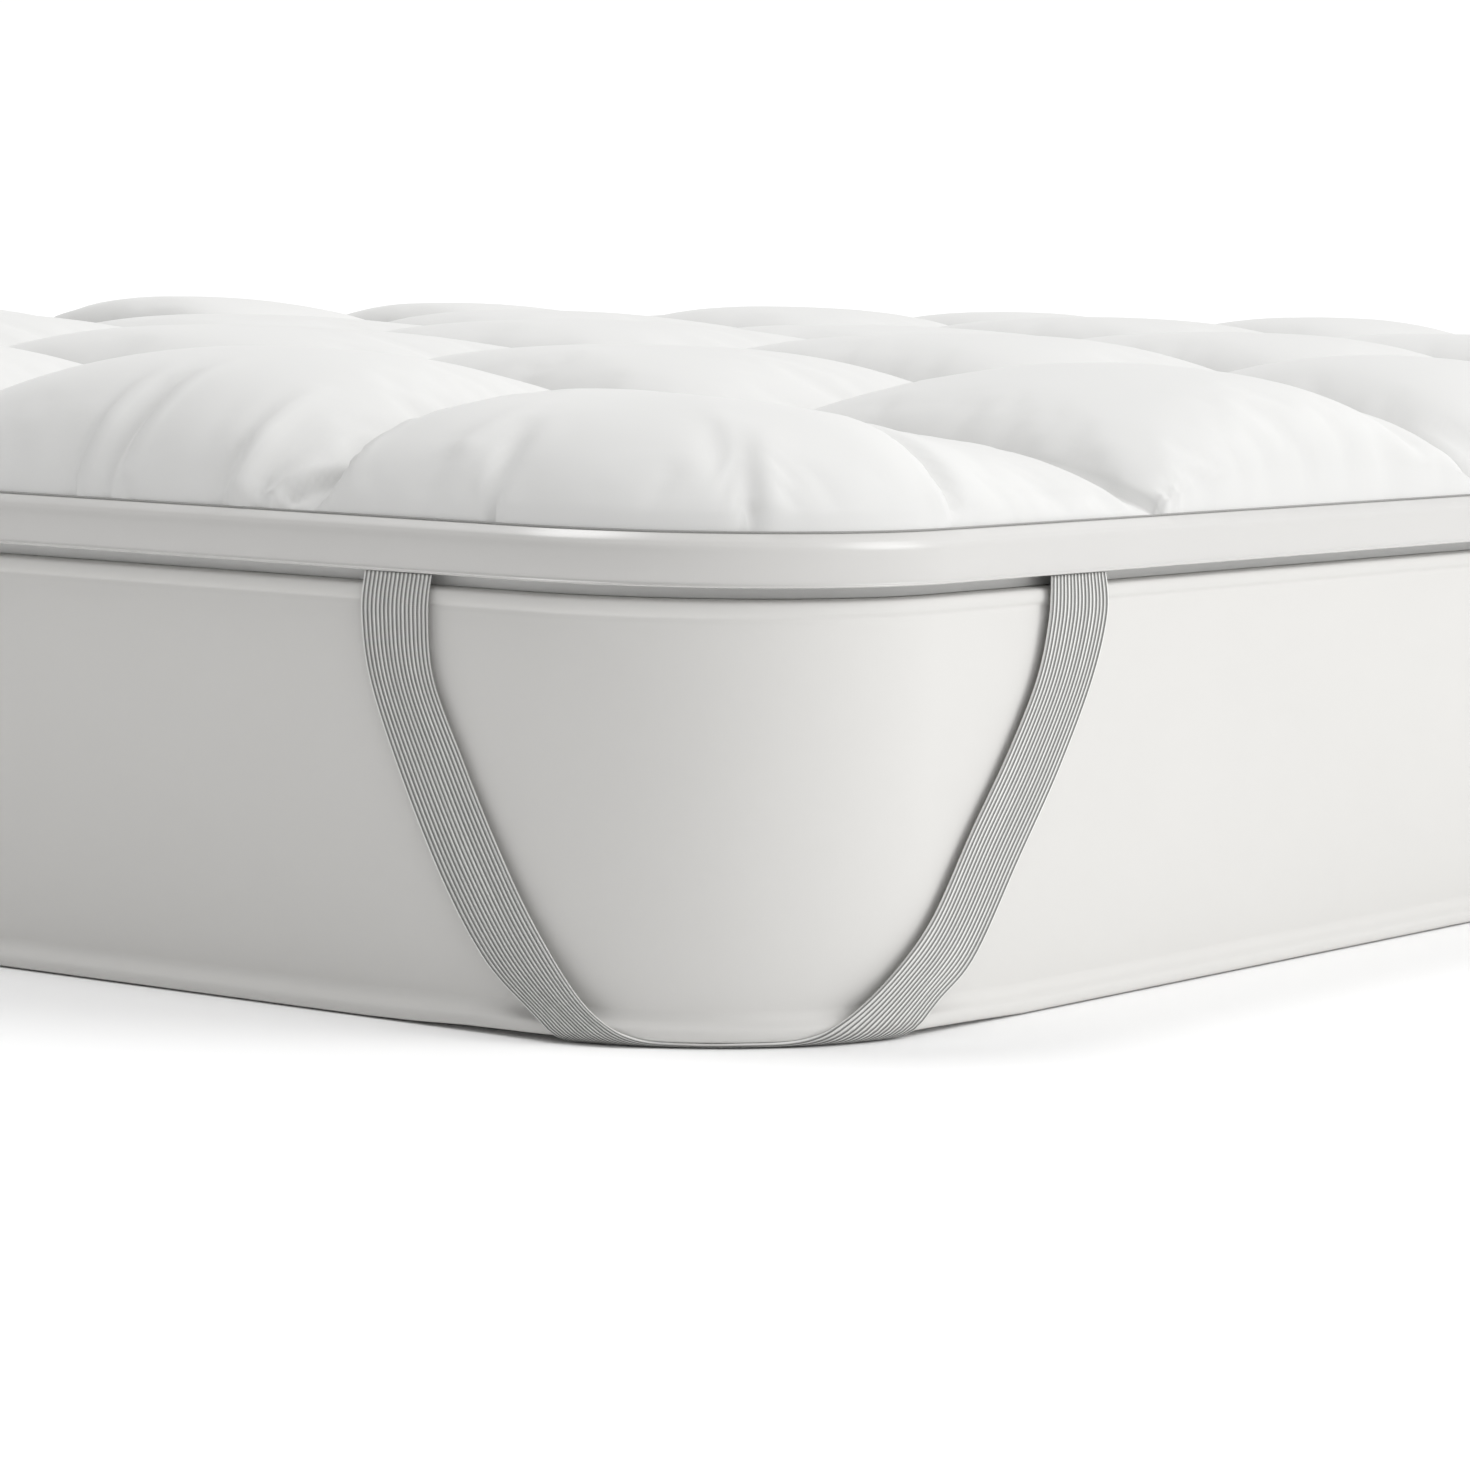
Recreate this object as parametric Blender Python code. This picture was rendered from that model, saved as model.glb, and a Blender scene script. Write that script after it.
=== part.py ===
"""A quilted mattress topper lying on a plain mattress.

The topper is one filled pad of sewn puffs with a smooth band round its side. An elastic
strap at each corner goes down from the band, under the mattress's corner and up again.
Sizes are in metres. X runs along the bed, Y across it, and Z up from the mattress's base.
"""

import math

import bmesh
import bpy
import numpy as np

# Sizes of the whole
LENGTH = 2.0
WIDTH = 1.5
CORNER_RADIUS = 0.1435
GAP = 0.0003
ARC_STEPS = 10

# Mattress
MATTRESS_HEIGHT = 0.212
BEAD = 0.0045
BASE_INSET = 0.012
BASE_CORNER_RADIUS = 0.21
BASE_RISE = 0.0042

# Topper
BAND_BOTTOM = MATTRESS_HEIGHT + 0.0063
BAND_TOP = BAND_BOTTOM + 0.0257
BAND_THICK = 0.004
PAD_INSET = 0.0010
PAD_RECESS = 0.006
RIM_LEVEL = BAND_TOP - 0.0012
SEAM_LEVEL = BAND_TOP + 0.022
CREST_LEVEL = BAND_TOP + 0.075
CORNER_DROP = 0.013
UNEVEN = 0.003
RIM_REACH = 0.130
RIM_POWER = 2.2
RIM_FULLNESS = 0.56
DOME_POWER = 3.6
DOME_FULLNESS = 0.58
CREST_SHARE_ALONG = 0.44
CREST_SHARE_ACROSS = 0.50
STEPS_PER_PUFF = 9

# Sewn lines, measured from the bed's end and side where X and Y are lowest
SEAMS_ALONG = (0.0, 0.346, 0.692, 1.033, 1.358, 1.683, 2.0)
SEAMS_ACROSS = (0.0, 0.273, 0.592, 0.900, 1.200, 1.500)

# Main folds of the puffs nearest the corner where X and Y are lowest. Each starts at a place
# measured as the sewn lines are, and runs at a heading in degrees. A negative depth is a ridge.
FOLDS = (
    # along, across, heading, length, spread, depth
    (0.161, 0.000, 66.0, 0.13, 0.012, 0.011),
    (0.262, -0.05, 90.0, 0.45, 0.066, 0.018),
    (0.640, -0.05, 90.0, 0.45, 0.050, 0.010),
    (0.130, 0.000, 75.0, 0.11, 0.022, -0.004),
    (0.037, 0.041, 52.0, 0.10, 0.009, 0.005),
    (0.000, 0.157, 8.0, 0.09, 0.010, 0.006),
    (0.000, 0.324, -14.0, 0.10, 0.010, 0.006),
    (0.000, 0.393, 4.0, 0.09, 0.012, 0.006),
    (0.000, 0.455, 10.0, 0.10, 0.012, 0.005),
    (0.000, 0.120, 20.0, 0.08, 0.014, -0.003),
)

# Short pleats that the stitching draws in beside each sewn line's end at the rim
PLEAT_OFFSET = 0.045
PLEAT_LENGTH = 0.085
PLEAT_SPREAD = 0.012
PLEAT_DEPTH = 0.006
PLEAT_LEAN = 12.0
PLEAT_SCATTER = 0.3
FOLD_START_SHARE = 0.125
FOLD_RIM_HOLD = 0.02

# Elastic strap
STRAP_THICK = 0.0016
STRAP_RIBS = 16
RIB_DEPTH = 0.0004
STRAP_STANDOFF = 0.0010
STRAP_EDGE_CLEARANCE = 0.0023
STRAP_TURN_RADIUS = 0.0076
STRAP_FLOOR_GAP = 0.0005
STRAP_TURN_HEIGHT = STRAP_FLOOR_GAP + STRAP_THICK + STRAP_TURN_RADIUS
STRAP_SLACK_HEIGHT = 0.050
STRAP_INNER_STEPS = 8
STRAP_TOP = BAND_BOTTOM - GAP

# Route of a strap's two long edges, from one end to the other. Along is the distance round
# the mattress's side from the middle of its corner. Drop is the height above the base, and
# below zero it is the way in under the mattress. Steps is the number of stations to the next.
STRAP_ROUTE = (
    # near_along, near_drop, far_along, far_drop, steps
    (-0.163, STRAP_TOP, -0.204, STRAP_TOP, 1),
    (-0.165, 0.1990, -0.206, 0.1970, 1),
    (-0.161, 0.1680, -0.200, 0.1650, 1),
    (-0.142, 0.1300, -0.180, 0.1200, 1),
    (-0.121, 0.0920, -0.153, 0.0710, 1),
    (-0.096, 0.0520, -0.127, 0.0360, 2),
    (-0.071, 0.0180, -0.104, 0.0130, 3),
    (-0.046, 0.0040, -0.078, -0.0130, 1),
    (-0.020, 0.0012, -0.040, -0.0300, 1),
    (0.004, 0.0016, 0.006, -0.0360, 1),
    (0.030, 0.0030, 0.052, -0.0300, 2),
    (0.056, 0.0130, 0.088, -0.0130, 4),
    (0.083, 0.0340, 0.118, 0.0140, 1),
    (0.112, 0.0600, 0.146, 0.0340, 1),
    (0.141, 0.0960, 0.184, 0.0790, 1),
    (0.172, 0.1320, 0.219, 0.1210, 1),
    (0.197, 0.1670, 0.248, 0.1640, 1),
    (0.207, 0.1960, 0.261, 0.1970, 1),
    (0.208, STRAP_TOP, 0.258, STRAP_TOP, 0),
)


def clear_scene():
    for thing in list(bpy.data.objects):
        bpy.data.objects.remove(thing, do_unlink=True)


def material(name, colour, roughness):
    made = bpy.data.materials.new(name)
    made.use_nodes = True
    shader = made.node_tree.nodes["Principled BSDF"]
    shader.inputs["Base Color"].default_value = (*colour, 1.0)
    shader.inputs["Roughness"].default_value = roughness
    shader.inputs["Metallic"].default_value = 0.0
    return made


def finish_object(name, mesh, collection, finish, sharp_degrees):
    mesh.materials.append(finish)
    mesh.shade_smooth()
    mesh.set_sharp_from_angle(angle=math.radians(sharp_degrees))
    made = bpy.data.objects.new(name, mesh)
    collection.objects.link(made)
    return made


def outline_point(along, outward):
    """A point on the mattress's outline at one corner, measured from that corner's middle.

    The corner is at the origin, with the sides running along +X and +Y.
    """
    half_arc = CORNER_RADIUS * math.pi / 4.0
    if along > half_arc:
        return CORNER_RADIUS + along - half_arc, -outward
    if along < -half_arc:
        return -outward, CORNER_RADIUS - along - half_arc
    turn = math.radians(225.0) + along / CORNER_RADIUS
    reach = CORNER_RADIUS + outward
    return CORNER_RADIUS + reach * math.cos(turn), CORNER_RADIUS + reach * math.sin(turn)


def rounded_outline(inset, radius):
    """A rounded rectangle's points, counter-clockwise, inset from the mattress's full size."""
    reach_x = LENGTH / 2.0 - inset - radius
    reach_y = WIDTH / 2.0 - inset - radius
    points = []
    for corner, (sign_x, sign_y) in enumerate(((1, 1), (-1, 1), (-1, -1), (1, -1))):
        for step in range(ARC_STEPS + 1):
            turn = math.radians(90.0 * (corner + step / ARC_STEPS))
            x = sign_x * reach_x + radius * math.cos(turn)
            y = sign_y * reach_y + radius * math.sin(turn)
            points.append((x, y))
    return points


def loft(name, rings):
    """A closed body through rings of the same number of points, capped at both ends."""
    shape = bmesh.new()
    rows = [[shape.verts.new(point) for point in ring] for ring in rings]
    count = len(rows[0])
    for lower, upper in zip(rows, rows[1:]):
        for k in range(count):
            after = (k + 1) % count
            shape.faces.new((lower[k], lower[after], upper[after], upper[k]))
    shape.faces.new(rows[0][::-1])
    shape.faces.new(rows[-1])
    bmesh.ops.recalc_face_normals(shape, faces=shape.faces)
    mesh = bpy.data.meshes.new(name)
    shape.to_mesh(mesh)
    shape.free()
    return mesh


def build_mattress(collection, finish):
    """A plain block with a rolled bead round its top and bottom edges.

    The base panel swells a little lower than the bottom bead, and its corners are drawn
    back, which leaves room for the straps.
    """
    top = MATTRESS_HEIGHT
    bead_top = BASE_RISE + 2.0 * BEAD
    sections = (
        # inset, radius, height
        (BASE_INSET, BASE_CORNER_RADIUS, 0.0),
        (BASE_INSET - 0.003, BASE_CORNER_RADIUS - 0.008, BASE_RISE),
        (BEAD, CORNER_RADIUS - BEAD, BASE_RISE),
        (0.0008, CORNER_RADIUS - 0.0008, BASE_RISE + 0.4 * BEAD),
        (0.0, CORNER_RADIUS, BASE_RISE + BEAD),
        (0.0008, CORNER_RADIUS - 0.0008, bead_top - 0.4 * BEAD),
        (0.0026, CORNER_RADIUS - 0.0026, bead_top),
        (0.0012, CORNER_RADIUS - 0.0012, bead_top + 0.006),
        (0.0002, CORNER_RADIUS - 0.0002, top * 0.5),
        (0.0010, CORNER_RADIUS - 0.0010, top - 2.0 * BEAD - 0.004),
        (0.0024, CORNER_RADIUS - 0.0024, top - 2.0 * BEAD),
        (0.0006, CORNER_RADIUS - 0.0006, top - 1.5 * BEAD),
        (0.0002, CORNER_RADIUS - 0.0002, top - 0.8 * BEAD),
        (0.0012, CORNER_RADIUS - 0.0012, top - 0.2 * BEAD),
        (0.0030, CORNER_RADIUS - 0.0030, top),
    )
    rings = []
    for inset, radius, height in sections:
        rings.append([(x, y, height) for x, y in rounded_outline(inset, radius)])
    return finish_object("mattress", loft("mattress", rings), collection, finish, 50.0)


def swept_ring(name, outline, section):
    """A section of outward sizes and heights, carried round a closed flat outline as a mesh."""
    profile_curve = bpy.data.curves.new(name + "_section", "CURVE")
    profile_curve.dimensions = "2D"
    spline = profile_curve.splines.new("POLY")
    spline.points.add(len(section) - 1)
    for point, (outward, height) in zip(spline.points, section):
        point.co = (-outward, height, 0.0, 1.0)
    spline.use_cyclic_u = True
    profile = bpy.data.objects.new(name + "_section", profile_curve)

    path_curve = bpy.data.curves.new(name + "_path", "CURVE")
    path_curve.dimensions = "2D"
    path_curve.fill_mode = "NONE"
    path_curve.bevel_mode = "OBJECT"
    path_curve.bevel_object = profile
    spline = path_curve.splines.new("POLY")
    spline.points.add(len(outline) - 1)
    for point, (x, y) in zip(spline.points, outline):
        point.co = (x, y, 0.0, 1.0)
    spline.use_cyclic_u = True
    path = bpy.data.objects.new(name + "_path", path_curve)
    bpy.context.scene.collection.objects.link(profile)
    bpy.context.scene.collection.objects.link(path)

    bpy.context.view_layer.update()
    evaluated = path.evaluated_get(bpy.context.evaluated_depsgraph_get())
    mesh = bpy.data.meshes.new_from_object(evaluated)
    mesh.name = name
    bpy.data.objects.remove(path, do_unlink=True)
    bpy.data.objects.remove(profile, do_unlink=True)
    shape = bmesh.new()
    shape.from_mesh(mesh)
    bmesh.ops.remove_doubles(shape, verts=shape.verts, dist=0.00001)
    bmesh.ops.recalc_face_normals(shape, faces=shape.faces)
    shape.to_mesh(mesh)
    shape.free()
    return mesh


def build_band(collection, finish):
    """The smooth strip round the topper's side, a little proud of the mattress."""
    height = BAND_TOP - BAND_BOTTOM
    section = (
        # outward, height
        (0.0, BAND_BOTTOM),
        (BAND_THICK - 0.0006, BAND_BOTTOM),
        (BAND_THICK, BAND_BOTTOM + 0.0010),
        (BAND_THICK + 0.0003, BAND_BOTTOM + 0.5 * height),
        (BAND_THICK, BAND_TOP - 0.0016),
        (BAND_THICK - 0.0012, BAND_TOP),
        (0.0, BAND_TOP),
    )
    outline = rounded_outline(0.0, CORNER_RADIUS)
    mesh = swept_ring("border_band", outline, section)
    return finish_object("border_band", mesh, collection, finish, 40.0)


def rim_distance(x, y, inset):
    """How far in from the pad's rounded outline each point is."""
    radius = CORNER_RADIUS - inset
    past_x = np.abs(x) - (LENGTH / 2.0 - inset - radius)
    past_y = np.abs(y) - (WIDTH / 2.0 - inset - radius)
    outside = np.hypot(np.maximum(past_x, 0.0), np.maximum(past_y, 0.0))
    return radius - outside - np.minimum(np.maximum(past_x, past_y), 0.0)


def dome(position, seams, crest_share):
    """One along a puff's crest and zero on its sewn lines, with the puff's number.

    The first and last puffs stay full on the rim's side, where the rim draws them down.
    """
    lines = np.asarray(seams)
    cell = np.clip(np.searchsorted(lines, position, side="right") - 1, 0, len(lines) - 2)
    share = np.clip((position - lines[cell]) / (lines[cell + 1] - lines[cell]), 0.0, 1.0)
    across = 2.0 * share ** (math.log(0.5) / math.log(crest_share)) - 1.0
    across = np.where(cell == 0, np.maximum(across, 0.0), across)
    across = np.where(cell == len(lines) - 2, np.minimum(across, 0.0), across)
    return (1.0 - np.abs(across) ** DOME_POWER) ** DOME_FULLNESS, cell


def crest_height(column, row):
    """The highest point of each puff. The four corner puffs are lower."""
    at_end = (column == 0) | (column == len(SEAMS_ALONG) - 2)
    at_side = (row == 0) | (row == len(SEAMS_ACROSS) - 2)
    wave = np.sin(2.3 * column + 1.7 * row + 0.6)
    return CREST_LEVEL - CORNER_DROP * (at_end & at_side) + UNEVEN * wave


def fold_change(along, across, fold):
    """The height that one fold takes away, fading at both of its ends."""
    start_along, start_across, heading, length, spread, depth = fold
    turn = math.radians(heading)
    forward = (along - start_along) * math.cos(turn) + (across - start_across) * math.sin(turn)
    sideways = (across - start_across) * math.cos(turn) - (along - start_along) * math.sin(turn)
    fade_out = np.clip(1.0 - forward / length, 0.0, 1.0)
    fade_in = np.clip(1.0 + forward / (length * FOLD_START_SHARE), 0.0, 1.0)
    return depth * fade_in * fade_out * np.exp(-(sideways / spread) ** 2)


def rim_pleats():
    """Rows for the pleats beside the sewn lines' ends, as in the table of folds."""
    pleats = []
    for number, seam in enumerate(SEAMS_ALONG[1:-1]):
        for side in (-1, 1):
            scatter = 1.0 + PLEAT_SCATTER * math.sin(3.1 * number + side)
            offset = seam + side * PLEAT_OFFSET * scatter
            lean = 90.0 + side * PLEAT_LEAN
            pleats.append((offset, 0.0, lean, PLEAT_LENGTH, PLEAT_SPREAD, PLEAT_DEPTH))
            pleats.append((offset, WIDTH, -lean, PLEAT_LENGTH, PLEAT_SPREAD, PLEAT_DEPTH))
    for number, seam in enumerate(SEAMS_ACROSS[1:-1]):
        for side in (-1, 1):
            scatter = 1.0 + PLEAT_SCATTER * math.sin(2.3 * number - side)
            offset = seam + side * PLEAT_OFFSET * scatter
            lean = -side * PLEAT_LEAN
            if number > 0:
                pleats.append((0.0, offset, lean, PLEAT_LENGTH, PLEAT_SPREAD, PLEAT_DEPTH))
            pleats.append((LENGTH, offset, 180.0 - lean, PLEAT_LENGTH, PLEAT_SPREAD, PLEAT_DEPTH))
    return pleats


def pad_height(x, y, inset):
    """The height of the pad's quilted top over each plan point."""
    along = x + LENGTH / 2.0
    across = y + WIDTH / 2.0
    distance = np.clip(rim_distance(x, y, inset), 0.0, None)
    profile_along, column = dome(along, SEAMS_ALONG, CREST_SHARE_ALONG)
    profile_across, row = dome(across, SEAMS_ACROSS, CREST_SHARE_ACROSS)
    rim = (1.0 - np.clip(1.0 - distance / RIM_REACH, 0.0, 1.0) ** RIM_POWER) ** RIM_FULLNESS
    inward = np.clip(distance / RIM_REACH, 0.0, 1.0)
    floor = RIM_LEVEL + (SEAM_LEVEL - RIM_LEVEL) * inward * (2.0 - inward)
    height = floor + (crest_height(column, row) - floor) * profile_along * profile_across * rim
    hold = np.clip(distance / FOLD_RIM_HOLD, 0.0, 1.0)
    change = np.zeros_like(height)
    for fold in list(FOLDS) + rim_pleats():
        change += fold_change(along, across, fold)
    return np.maximum(height - hold * change * rim ** 0.5, RIM_LEVEL)


def spaced_lines(seams, inset):
    """Grid lines that are closest together beside each sewn line."""
    lines = [0.0]
    for start, end in zip(seams, seams[1:]):
        for step in range(1, STEPS_PER_PUFF + 1):
            share = 0.5 - 0.5 * math.cos(math.pi * step / STEPS_PER_PUFF)
            even = step / STEPS_PER_PUFF
            lines.append(start + (end - start) * (0.7 * share + 0.3 * even))
    half = seams[-1] / 2.0
    return [(line / half - 1.0) * (half - inset) for line in lines]


def build_pad(collection, finish):
    """The filled pad: sewn puffs on top, an upright side inside the band, a flat underside."""
    inset = PAD_INSET
    lines_x = spaced_lines(SEAMS_ALONG, inset)
    lines_y = spaced_lines(SEAMS_ACROSS, inset)
    shape = bmesh.new()
    bmesh.ops.create_grid(shape, x_segments=len(lines_x) - 1, y_segments=len(lines_y) - 1, size=1.0)

    radius = CORNER_RADIUS - inset
    straight_x = LENGTH / 2.0 - inset - radius
    straight_y = WIDTH / 2.0 - inset - radius
    for vert in shape.verts:
        x = lines_x[round((vert.co.x + 1.0) / 2.0 * (len(lines_x) - 1))]
        y = lines_y[round((vert.co.y + 1.0) / 2.0 * (len(lines_y) - 1))]
        past_x = abs(x) - straight_x
        past_y = abs(y) - straight_y
        if past_x > 0.0 and past_y > 0.0:
            pull = max(past_x, past_y) / math.hypot(past_x, past_y)
            x = math.copysign(straight_x + past_x * pull, x)
            y = math.copysign(straight_y + past_y * pull, y)
        vert.co = (x, y, 0.0)
    shape.verts.ensure_lookup_table()
    places = np.array([vert.co[:] for vert in shape.verts])
    heights = pad_height(places[:, 0], places[:, 1], inset)
    for vert, height in zip(shape.verts, heights):
        vert.co.z = height

    side_levels = (
        # inset, height
        (inset, BAND_BOTTOM + GAP),
        (PAD_RECESS, MATTRESS_HEIGHT + GAP),
    )
    edge = [e for e in shape.edges if e.is_boundary]
    for level_inset, height in side_levels:
        made = bmesh.ops.extrude_edge_only(shape, edges=edge)["geom"]
        for vert in [item for item in made if isinstance(item, bmesh.types.BMVert)]:
            shrink_x = (LENGTH / 2.0 - level_inset) / (LENGTH / 2.0 - inset)
            shrink_y = (WIDTH / 2.0 - level_inset) / (WIDTH / 2.0 - inset)
            vert.co = (vert.co.x * shrink_x, vert.co.y * shrink_y, height)
        edge = [item for item in made if isinstance(item, bmesh.types.BMEdge)]
        edge = [e for e in edge if e.is_boundary]
    bmesh.ops.contextual_create(shape, geom=edge)
    bmesh.ops.recalc_face_normals(shape, faces=shape.faces)
    mesh = bpy.data.meshes.new("quilted_pad")
    shape.to_mesh(mesh)
    shape.free()
    return finish_object("quilted_pad", mesh, collection, finish, 60.0)


def smooth_between(rows, index, share):
    """A value between two rows of a table on a smooth curve through all of them."""
    before = rows[max(index - 1, 0)]
    start = rows[index]
    end = rows[index + 1]
    after = rows[min(index + 2, len(rows) - 1)]
    slope_start = (end - before) / 2.0
    slope_end = (after - start) / 2.0
    cube = share ** 3
    square = share ** 2
    value = (2 * cube - 3 * square + 1) * start + (cube - 2 * square + share) * slope_start
    return value + (3 * square - 2 * cube) * end + (cube - square) * slope_end


def strap_stations():
    """The strap's two edges at each station, as near and far distances along and drops."""
    rows = np.array([row[:4] for row in STRAP_ROUTE])
    stations = []
    for index, row in enumerate(STRAP_ROUTE[:-1]):
        for step in range(row[4]):
            stations.append(smooth_between(rows, index, step / row[4]))
    stations.append(rows[-1])
    return stations


def strap_point(along, drop, lift):
    """A point of the strap, lift being its height over the strap's inner face."""
    if drop >= STRAP_TURN_HEIGHT:
        share = (drop - STRAP_TURN_HEIGHT) / (STRAP_SLACK_HEIGHT - STRAP_TURN_HEIGHT)
        share = min(share, 1.0)
        ease = share * share * (3.0 - 2.0 * share)
        outward = STRAP_EDGE_CLEARANCE + (STRAP_STANDOFF - STRAP_EDGE_CLEARANCE) * ease + lift
        return (*outline_point(along, outward), drop)
    centre = STRAP_EDGE_CLEARANCE - STRAP_TURN_RADIUS
    reach = STRAP_TURN_RADIUS + lift
    turned = min((STRAP_TURN_HEIGHT - drop) / STRAP_TURN_RADIUS, math.pi / 2.0)
    past = STRAP_TURN_HEIGHT - drop - STRAP_TURN_RADIUS * math.pi / 2.0
    outward = centre + reach * math.cos(turned) - max(past, 0.0)
    return (*outline_point(along, outward), STRAP_TURN_HEIGHT - reach * math.sin(turned))


def build_strap(name, sign_x, sign_y, collection, finish):
    """An elastic strap with lengthwise ribs on its outer face, at the corner that signs give."""
    rib_points = 2 * STRAP_RIBS
    rings = []
    for near_along, near_drop, far_along, far_drop in strap_stations():
        ring = []
        for k in range(rib_points + 1):
            share = k / rib_points
            lift = STRAP_THICK - RIB_DEPTH * (k % 2 == 0)
            along = near_along + (far_along - near_along) * share
            drop = near_drop + (far_drop - near_drop) * share
            ring.append(strap_point(along, drop, lift))
        for k in range(STRAP_INNER_STEPS + 1):
            share = 1.0 - k / STRAP_INNER_STEPS
            along = near_along + (far_along - near_along) * share
            drop = near_drop + (far_drop - near_drop) * share
            ring.append(strap_point(along, drop, 0.0))
        placed = []
        for x, y, z in ring:
            placed.append((sign_x * (LENGTH / 2.0 - x), sign_y * (WIDTH / 2.0 - y), z))
        rings.append(placed)
    return finish_object(name, loft(name, rings), collection, finish, 70.0)


def main():
    clear_scene()
    collection = bpy.data.collections.new("mattress_topper")
    bpy.context.scene.collection.children.link(collection)
    ticking = material("mattress_ticking", (0.80, 0.80, 0.79), 0.85)
    microfibre = material("topper_microfibre", (0.88, 0.88, 0.87), 0.80)
    trim = material("band_fabric", (0.82, 0.82, 0.81), 0.75)
    elastic = material("ribbed_elastic", (0.62, 0.62, 0.61), 0.80)
    build_mattress(collection, ticking)
    build_pad(collection, microfibre)
    build_band(collection, trim)
    corners = ((-1, -1), (1, -1), (1, 1), (-1, 1))
    for number, (sign_x, sign_y) in enumerate(corners, start=1):
        build_strap(f"corner_strap_{number}", sign_x, sign_y, collection, elastic)


main()
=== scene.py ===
"""The looks of a quilted mattress topper on a plain mattress, dressed over its solids."""

import math

import bmesh
import bpy
import numpy as np
from mathutils import Matrix, Vector


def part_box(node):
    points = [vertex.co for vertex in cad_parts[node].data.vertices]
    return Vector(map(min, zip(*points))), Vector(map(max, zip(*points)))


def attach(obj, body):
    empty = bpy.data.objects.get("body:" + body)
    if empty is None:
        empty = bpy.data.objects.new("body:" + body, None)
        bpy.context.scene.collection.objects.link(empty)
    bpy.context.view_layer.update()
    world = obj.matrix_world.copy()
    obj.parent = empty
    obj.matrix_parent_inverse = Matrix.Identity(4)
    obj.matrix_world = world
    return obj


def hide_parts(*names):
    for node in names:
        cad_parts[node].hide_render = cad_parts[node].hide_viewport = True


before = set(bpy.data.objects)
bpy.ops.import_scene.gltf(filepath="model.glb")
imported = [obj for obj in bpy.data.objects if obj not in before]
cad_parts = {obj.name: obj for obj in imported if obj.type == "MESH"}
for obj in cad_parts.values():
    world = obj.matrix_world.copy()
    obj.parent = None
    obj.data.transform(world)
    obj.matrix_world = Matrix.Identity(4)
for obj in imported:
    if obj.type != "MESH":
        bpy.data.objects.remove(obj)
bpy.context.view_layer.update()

# Sizes read from the frame, in metres
MATTRESS_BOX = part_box("mattress")
BAND_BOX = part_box("border_band")
PAD_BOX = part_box("quilted_pad")
LENGTH = MATTRESS_BOX[1][0] - MATTRESS_BOX[0][0]
WIDTH = MATTRESS_BOX[1][1] - MATTRESS_BOX[0][1]
MATTRESS_TOP = MATTRESS_BOX[1][2]
BAND_BOTTOM = BAND_BOX[0][2]
BAND_TOP = BAND_BOX[1][2]
PAD_BOTTOM = PAD_BOX[0][2]

# The outline's corners, and the steps of the rings that follow it
CORNER_RADIUS = 0.1435
ARC_STEPS = 28
WALL_SIDE_STEPS = 40
BAND_SIDE_STEPS = 60

# Mattress. The bottom roll stands up at the corners, where the straps pass under it.
BASE_RISE = 0.0030
SIDE_DROP = 0.0023
CORNER_REACH = 0.150
DROP_FADE = 0.080
DROP_TOP = 0.060
DROP_TAPER = 0.040
WALL_STEPS = 44
WALL_INSET = 0.0018
WALL_EASE = 0.0280
BASE_PANEL = (
    # height, inset, corner radius
    (0.0, 0.012, 0.210), (0.0003, 0.010, 0.206), (BASE_RISE, 0.009, 0.202),
)
LOW_ROLL = (
    # above the base's rise, inset
    (0.0000, 0.0034), (0.0002, 0.0018), (0.0009, 0.0009), (0.0018, 0.0004), (0.0030, 0.0001),
    (0.0044, 0.0000), (0.0056, 0.0001), (0.0065, 0.0005), (0.0073, 0.0012), (0.0080, 0.0021),
    (0.0087, 0.0031), (0.0094, 0.0040), (0.0103, 0.0048), (0.0114, 0.0054), (0.0127, 0.0058),
    (0.0145, 0.0060),
)
HIGH_ROLL = (
    # below the top, inset
    (0.0112, 0.0018), (0.0100, 0.0019), (0.0092, 0.0020), (0.0085, 0.0020), (0.0078, 0.0017),
    (0.0070, 0.0012), (0.0060, 0.0009), (0.0046, 0.0007), (0.0034, 0.0007), (0.0024, 0.0008),
    (0.0016, 0.0010), (0.0010, 0.0013), (0.0006, 0.0018), (0.0003, 0.0026), (0.0001, 0.0040),
    (0.0000, 0.0080),
)

# Band, and the thread of the seam above it
BAND_INNER = -0.0010
BAND_INNER_LOW = BAND_BOTTOM + 0.0003
BAND_INNER_HIGH = BAND_TOP - 0.0010
THREAD_RADIUS = 0.0005
THREAD_SIDES = 8
THREAD_OUTWARD = -0.0009
THREAD_HEIGHT = BAND_TOP + 0.0002
BAND_PROFILE = (
    # share of the height, outward
    (0.000, 0.0034), (0.008, 0.0050), (0.018, 0.0058), (0.030, 0.0060), (0.044, 0.0057),
    (0.058, 0.0052), (0.074, 0.0049), (0.100, 0.0050), (0.200, 0.0053), (0.300, 0.0055),
    (0.450, 0.0055), (0.600, 0.0055), (0.640, 0.0054), (0.680, 0.0053), (0.715, 0.0050),
    (0.750, 0.0047), (0.775, 0.0043), (0.800, 0.0039), (0.825, 0.0035), (0.850, 0.0030),
    (0.875, 0.0024), (0.900, 0.0018), (0.925, 0.0011), (0.950, 0.0004), (0.975, -0.0003),
    (1.000, -0.0010),
)

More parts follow.
